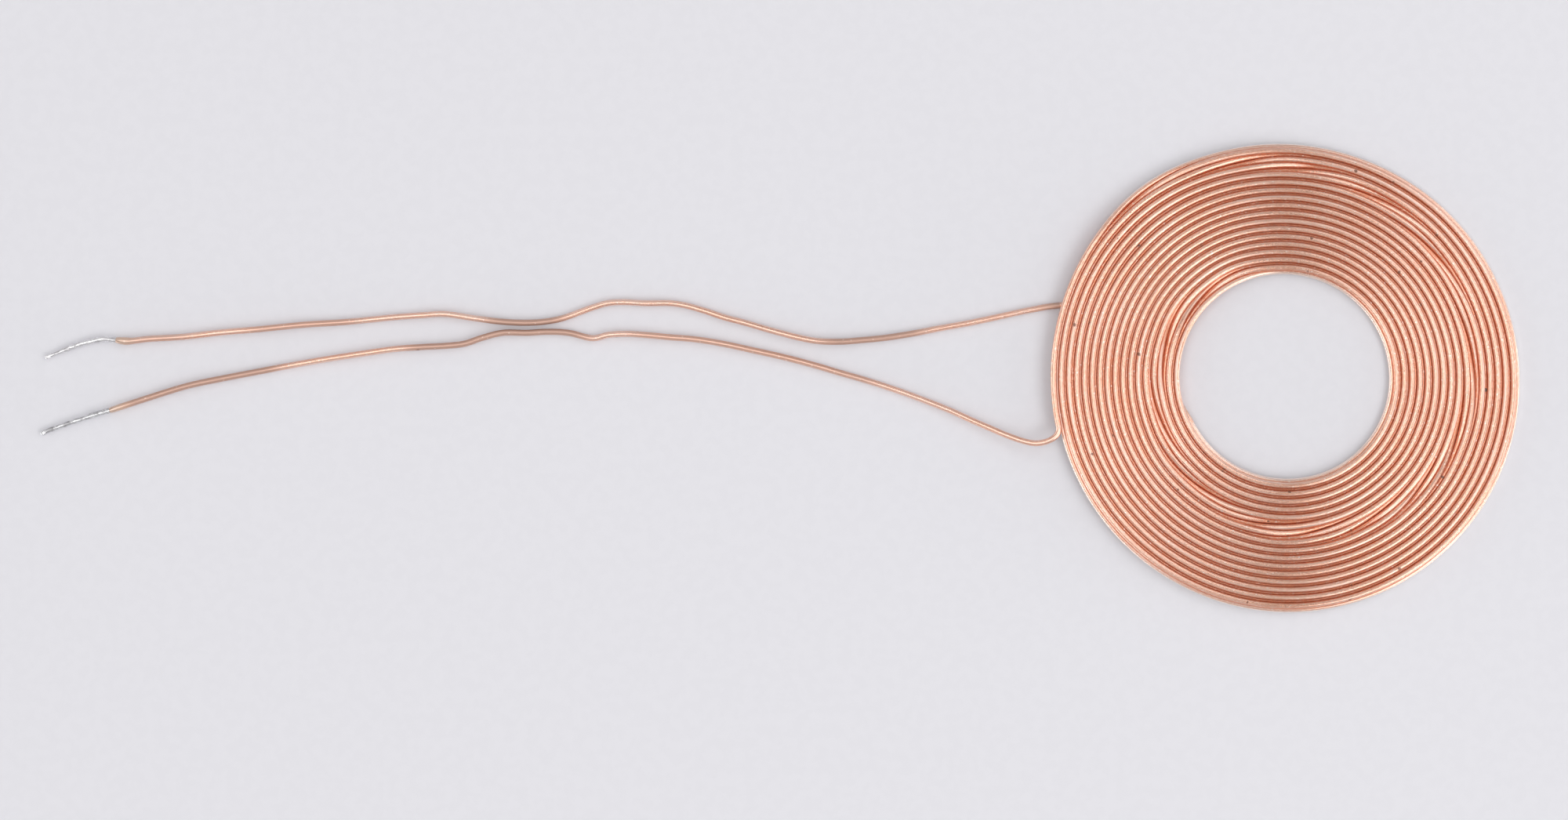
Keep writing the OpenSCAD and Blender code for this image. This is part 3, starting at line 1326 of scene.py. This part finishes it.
@dataclass
class TinTip:
    """The tinned end of a lead.

    Its profile tells how thick it is at each share of its length. Lumps of tin are as high
    and as long as lump and lump_size say.
    """

    name: str
    node: str
    steps: Steps
    profile: tuple[tuple[float, float], ...]
    rest_z: float = 0.28
    half_sides: int = 12
    ring_step: float = 0.06
    lump: float = 0.07
    lump_size: float = 0.45

    def build(
        self, lead_end: np.ndarray, origin: np.ndarray, material: bpy.types.Material
    ) -> bpy.types.Object:
        """Makes the tip: a wire of changing thickness with lumps of tin.

        Args:
            lead_end: The last point of the lead.
            origin: Where the steps are taken from.
            material: The finish it wears.

        Returns:
            The finished piece.
        """
        route = np.array([lead_end, *placed(self.steps, origin, self.rest_z)])
        path = eased_path(route, self.ring_step)
        along = travelled(path)
        share, thickness = np.array(self.profile).T
        radii = np.interp(along / along[-1], share, thickness) / 2
        obj = Wire(self.name, path, radii, self.half_sides).build(material)
        texture = bpy.data.textures.new(self.name, "CLOUDS")
        texture.noise_scale = self.lump_size * MM
        texture.noise_depth = 2
        activate(obj)
        lumps = obj.modifiers.new("lumps", "DISPLACE")
        lumps.texture = texture
        lumps.strength = self.lump * MM
        lumps.mid_level = 0.5
        bpy.ops.object.modifier_apply(modifier=lumps.name)
        stand_in(obj, self.node)
        return obj


@dataclass
class Lead:
    """A free end of the wire, from where it leaves the coil to its tinned tip.

    Its steps are taken from the origin, which is the exit of the CAD part's lead. The enamel
    ends in a bead next to the tin, and past the bead its edge is frayed.
    """

    name: str
    node: str
    exit_at: np.ndarray
    heading: np.ndarray
    origin: np.ndarray
    steps: Steps
    tip: TinTip
    length: float
    bead: float
    dull: Stretches
    lead_in: float = 0.1
    wire_d: float = 0.56
    bead_at: float = 0.9
    bead_length: float = 0.55
    fray: float = 0.05
    fray_length: float = 0.3
    ring_step: float = 0.25
    half_sides: int = 10
    rows: int = 8

    def path(self) -> np.ndarray:
        """Runs a smooth path through the lead's route, nowhere below the surface.

        Returns:
            The points of the path.
        """
        floor_z = self.wire_d / 2
        first = self.exit_at + self.lead_in * self.heading
        route = np.array([self.exit_at, first, *placed(self.steps, self.origin, floor_z)])
        path = eased_path(route, self.ring_step)
        path[:, 2] = np.maximum(path[:, 2], floor_z)
        return path

    def radii(self, along: np.ndarray) -> np.ndarray:
        """Gives the wire's radius, with the bead of enamel before the tin.

        Args:
            along: How far along the wire each point lies.

        Returns:
            A radius for each point.
        """
        to_tin = along[-1] - along
        bead = self.bead * np.exp(-(((to_tin - self.bead_at) / self.bead_length) ** 2))
        frayed = self.fray * (1 - ramp(to_tin, 0, self.fray_length))
        return self.wire_d / 2 + bead - frayed

    def copper(self, tin_at: float) -> EnamelledCopper:
        """Gives the finish of the loose wire: less rubbed and specked, with fainter painted
        glints.

        Args:
            tin_at: How far along the wire the tin begins.

        Returns:
            The finish.
        """
        return EnamelledCopper(
            f"{self.name}_copper",
            copper=(0.86, 0.5, 0.37, 1.0),
            anisotropic=0.4,
            coat_ior=2.2,
            coat_roughness=0.12,
            wear_and_glints=0.6,
            specked=0.04,
            dull=self.dull,
            tin_at=tin_at,
        )

    def build(self, tin: TinnedCopper, effects: Effects) -> None:
        """Args:
            tin: The tip's finish.
            effects: The shared node groups.
        """
        path = self.path()
        along = travelled(path)
        wire = Wire(self.name, path, self.radii(along), self.half_sides, self.rows)
        obj = wire.build(self.copper(float(along[-1])).material(effects))
        stand_in(obj, self.node)
        tip = self.tip.build(path[-1], self.origin, tin.material(effects))


@dataclass
class Leads:
    """Both leads.

    Their steps follow those of the CAD part, in millimetres from each exit, with more points
    where the wire bends and with the slight rises of a wire that was bent by hand.
    """

    sizes: CoilSizes
    start_steps: Steps = (
        (-1.3, -0.15), (-2.4, -0.36), (-3.6, -0.6), (-6, -1.13), (-8.5, -1.65), (-11, -2.1),
        (-13.6, -2.6, 0.01), (-16.2, -3, 0.07), (-18.2, -3.2, 0.13), (-20.2, -3.35, 0.17),
        (-22.3, -3.3, 0.2), (-24, -3, 0.19), (-25.6, -2.6, 0.17), (-27.4, -2.1, 0.14),
        (-29.1, -1.6, 0.12), (-31, -1.1, 0.09), (-32.8, -0.5, 0.08), (-34.6, 0, 0.05),
        (-36, 0.2, 0.05), (-38.4, 0.2, 0.07), (-40.4, 0.3, 0.05), (-41.8, 0.2, 0.03),
        (-43.2, -0.2), (-46, -1.2, 0.01), (-47.6, -1.5, 0.05), (-49.4, -1.6, 0.09),
        (-51.6, -1.5, 0.15), (-54, -1.2, 0.19), (-56.9, -0.8, 0.15), (-58.8, -0.9, 0.11),
        (-61.6, -1.1, 0.05), (-65.6, -1.5, 0.05), (-70, -1.8, 0.16), (-74, -2.2, 0.2),
        (-77.5, -2.5, 0.14), (-81, -2.9, 0.09), (-84.2, -3.1, 0.15), (-86.1, -3.3, 0.17),
        (-87.2, -3.2, 0.17),
    )  # fmt: skip
    start_tip_steps: Steps = (
        (-88.4, -3.12, 0.17), (-89.4, -3.3, 0.14), (-90.4, -3.55, 0.11), (-91.4, -3.9, 0.07),
        (-92.4, -4.3, 0.04), (-93.8, -4.85),
    )  # fmt: skip
    end_steps: Steps = (
        (0.12, -0.38, 1.18), (0.07, -0.57, 1.17), (-0.01, -0.75, 1.15), (-0.13, -0.92, 1.13),
        (-0.29, -1.07, 1.11), (-0.5, -1.21, 1.08), (-0.83, -1.38, 1.03),
        (-1.38, -1.54, 0.97), (-2.06, -1.6, 0.89), (-2.88, -1.46, 0.8), (-3.84, -1.16, 0.7),
        (-4.9, -0.76, 0.58), (-6.2, -0.2, 0.45), (-7.7, 0.45, 0.32), (-9.8, 1.4, 0.18),
        (-11.8, 2.2, 0.08), (-14.8, 3.3, 0),
        (-17.9, 4.3, 0), (-20, 4.9, 0.01), (-22, 5.5, 0.04), (-25, 6.3, 0.07),
        (-28.1, 7, 0.1), (-30.9, 7.6, 0.13), (-33.4, 8, 0.15), (-35.8, 8.2, 0.16),
        (-38, 8.4, 0.16), (-39.8, 8.5, 0.14), (-41.5, 8.4, 0.1), (-42.8, 8.1, 0.05),
        (-45.1, 8.6, 0.03), (-47, 8.7, 0.06), (-49, 8.6, 0.11), (-51.2, 8.6, 0.17),
        (-53.2, 8.1, 0.2), (-54.7, 7.6, 0.17), (-56.5, 7.4, 0.12), (-58.5, 7.3, 0.14),
        (-61.2, 7.1, 0.2), (-64, 6.7, 0.19), (-67.3, 6.2, 0.1), (-71, 5.55, 0.01),
        (-74.4, 4.9, 0.03), (-77, 4.4, 0.11), (-80.3, 3.7, 0.19), (-83.9, 2.6, 0.14),
        (-87.5, 1.42, 0.19),
    )  # fmt: skip
    end_tip_steps: Steps = (
        (-88.6, 1.1, 0.2), (-89.6, 0.8, 0.18), (-90.8, 0.4, 0.15), (-92, 0, 0.11),
        (-93.2, -0.42, 0.05), (-93.6, -0.58, 0.04), (-93.85, -0.85, 0.02),
    )  # fmt: skip
    start_profile: tuple[tuple[float, float], ...] = (
        (0, 0.4), (0.05, 0.46), (0.16, 0.52), (0.26, 0.53), (0.3, 0.48), (0.5, 0.5),
        (0.75, 0.42), (0.9, 0.33), (0.93, 0.34), (0.955, 0.48), (0.98, 0.5), (0.995, 0.38),
        (1, 0.14),
    )  # fmt: skip
    end_profile: tuple[tuple[float, float], ...] = (
        (0, 0.5), (0.2, 0.49), (0.24, 0.56), (0.3, 0.48), (0.36, 0.43), (0.7, 0.44),
        (0.9, 0.42), (0.94, 0.47), (0.98, 0.44), (0.995, 0.34), (1, 0.12),
    )  # fmt: skip

    def start(self) -> Lead:
        """Gives the lead at the start of the wire.

        Returns:
            The lead, with its tip.
        """
        exit_at, heading = self.sizes.start_exit()
        return Lead(
            "start_lead_wire",
            "start_lead",
            exit_at,
            heading,
            exit_at,
            self.start_steps,
            TinTip("start_tip_tin", "start_tip", self.start_tip_steps, self.start_profile),
            length=88.5,
            bead=0.07,
            # The dull stretches are also painted darker as shade; the first, next to the coil, is
            # the painted shadow under the rim
            dull=((-3, 1.6, 1), (13, 22, 1), (47, 54, 1), (66, 76, 0.6), (82, 89, 0.5)),
        )

    def end(self, winding: Winding) -> Lead:
        """Gives the lead at the end of the wire.

        Args:
            winding: The turns, from whose end it goes on.

        Returns:
            The lead, with its tip.
        """
        exit_at, heading = winding.end()
        return Lead(
            "end_lead_wire",
            "end_lead",
            exit_at,
            heading,
            self.sizes.end_exit(),
            self.end_steps,
            TinTip("end_tip_tin", "end_tip", self.end_tip_steps, self.end_profile),
            length=91.0,
            bead=0.01,
            # The dull stretches are also painted darker as shade
            dull=((19, 42, 0.5), (46, 63, 1), (75, 90, 1)),
            lead_in=0.12,
        )

    def build(self, winding: Winding, effects: Effects) -> None:
        """Makes both leads with their tips.

        Args:
            winding: The turns, from whose end the end lead goes on.
            effects: The shared node groups.
        """
        dark_tin = (0.82, 0.82, 0.83, 1.0)
        dark_dull = (0.42, 0.41, 0.42, 1.0)
        self.start().build(TinnedCopper("start_tin"), effects)
        self.end(winding).build(TinnedCopper("end_tin", dark_tin, dark_dull), effects)


# --------------------------------------------------------------------------------------------
# Surroundings
# --------------------------------------------------------------------------------------------


@dataclass
class Camera:
    """The camera, which looks straight down. It shows a piece of the table of the given width."""

    centre: Range = (-0.04626, -0.00301)
    height: float = 0.45
    width: float = 0.145
    sensor: float = 36.0
    clip: Range = (0.01, 10.0)

    def build(self) -> None:
        """Makes the camera and gives it to the scene."""
        data = bpy.data.cameras.new("camera")
        data.sensor_width = self.sensor
        data.lens = self.sensor * self.height / self.width
        data.clip_start, data.clip_end = self.clip
        obj = bpy.data.objects.new("camera", data)
        obj.location = (*self.centre, self.height)
        bpy.context.scene.collection.objects.link(obj)
        bpy.context.scene.camera = obj


@dataclass
class SoftBox:
    """A rectangular lamp aimed at the coil.

    Its tilt is how far it stands off the vertical towards +X and +Y, and its size is how large
    it is as seen from the coil, both in degrees. A level of 1 makes it as bright as white.
    """

    name: str
    tilt: tuple[float, float]
    size: tuple[float, float]
    level: float
    distance: float = 1.2
    power_of_level: float = 4.0

    def build(self) -> None:
        """Makes the lamp."""
        data = bpy.data.lights.new(self.name, "AREA")
        data.shape = "RECTANGLE"
        data.size, data.size_y = (
            2 * self.distance * math.tan(math.radians(angle / 2)) for angle in self.size
        )
        data.energy = self.level * self.power_of_level * data.size * data.size_y
        obj = bpy.data.objects.new(self.name, data)
        x, y = (math.tan(math.radians(angle)) for angle in self.tilt)
        away = np.array([x, y, 1.0]) / math.sqrt(x * x + y * y + 1)
        obj.location = away * self.distance
        obj.rotation_euler = (
            math.atan2(-away[1], math.hypot(away[0], away[2])),
            math.atan2(away[0], away[2]),
            0,
        )
        obj.visible_camera = False
        bpy.context.scene.collection.objects.link(obj)


@dataclass
class Studio:
    """The table, the soft boxes and the pale surroundings."""

    table_size: float = 8.0
    around: Colour = (0.3, 0.3, 0.306, 1.0)
    backdrop: Colour = (0.787, 0.778, 0.812, 1.0)
    backdrop_ends: Range = (0.1, 0.2)
    boxes: tuple[SoftBox, ...] = (
        SoftBox("left_box", (-18, -2), (29, 36), 1.34),
        SoftBox("top_box", (0, -1), (7, 20), 1.9),
        SoftBox("right_top_box", (15, -2), (4, 14), 1.3),
        SoftBox("left_front_box", (-18, -46), (34, 30), 0.4),
        SoftBox("left_back_box", (-20, 46), (40, 34), 0.4),
        SoftBox("right_back_box", (33, 24), (34, 50), 0.9),
        SoftBox("right_front_box", (31, -32), (28, 38), 1.94),
        SoftBox("left_side_box", (-72, -8), (24, 90), 0.65),
        SoftBox("right_side_box", (74, -8), (24, 90), 0.75),
        SoftBox("left_low_box", (-86, -81), (8, 70), 3.5),
        SoftBox("right_low_box", (86, -81), (8, 70), 3.5),
    )

    def table(self) -> None:
        """Makes the table top."""
        deselect()
        bpy.ops.mesh.primitive_plane_add(size=self.table_size)
        obj = bpy.context.active_object
        obj.name = "table"
        obj.data.materials.append(PaleTable().material())

    def world(self) -> None:
        """Lights from all round, with a pale backdrop along the horizon.

        The backdrop shows to the camera, in metal and through glass, and adds no other light.
        """
        world = bpy.data.worlds.new("studio")
        world.use_nodes = True
        nodes = Nodes(world.node_tree)
        rays = nodes.add("LightPath").outputs
        seen = nodes.maths("MAXIMUM", rays["Is Camera Ray"], rays["Is Glossy Ray"])
        seen = nodes.maths("MAXIMUM", seen, rays["Is Transmission Ray"])
        upwards = nodes.split(nodes.add("TexCoord").outputs["Generated"])["Z"]
        low = nodes.spread(upwards, *self.backdrop_ends, 1.0, 0.0)
        colour = nodes.mix(nodes.maths("MULTIPLY", seen, low), self.around, self.backdrop)
        background, out = nodes.add("Background"), nodes.add("OutputWorld")
        nodes.link(colour, background.inputs["Color"])
        nodes.link(background.outputs[0], out.inputs["Surface"])
        bpy.context.scene.world = world

    def build(self) -> None:
        """Makes the surroundings."""
        bpy.context.scene.view_settings.view_transform = "Standard"
        self.table()
        self.world()
        for box in self.boxes:
            box.build()


def main() -> None:
    """Builds the scene: the camera and the cords first, then the rest."""
    logging.basicConfig(level=logging.INFO, format="%(name)s %(message)s")
    deselect()
    sizes, effects = CoilSizes(), Effects()
    winding = Winding(sizes)
    Camera().build()
    Leads(sizes).build(winding, effects)
    copper = EnamelledCopper().material(effects)
    UnderRun(sizes, winding.first_r).build(copper)
    winding.build(copper)
    Studio().build()


if __name__ == "__main__":
    main()
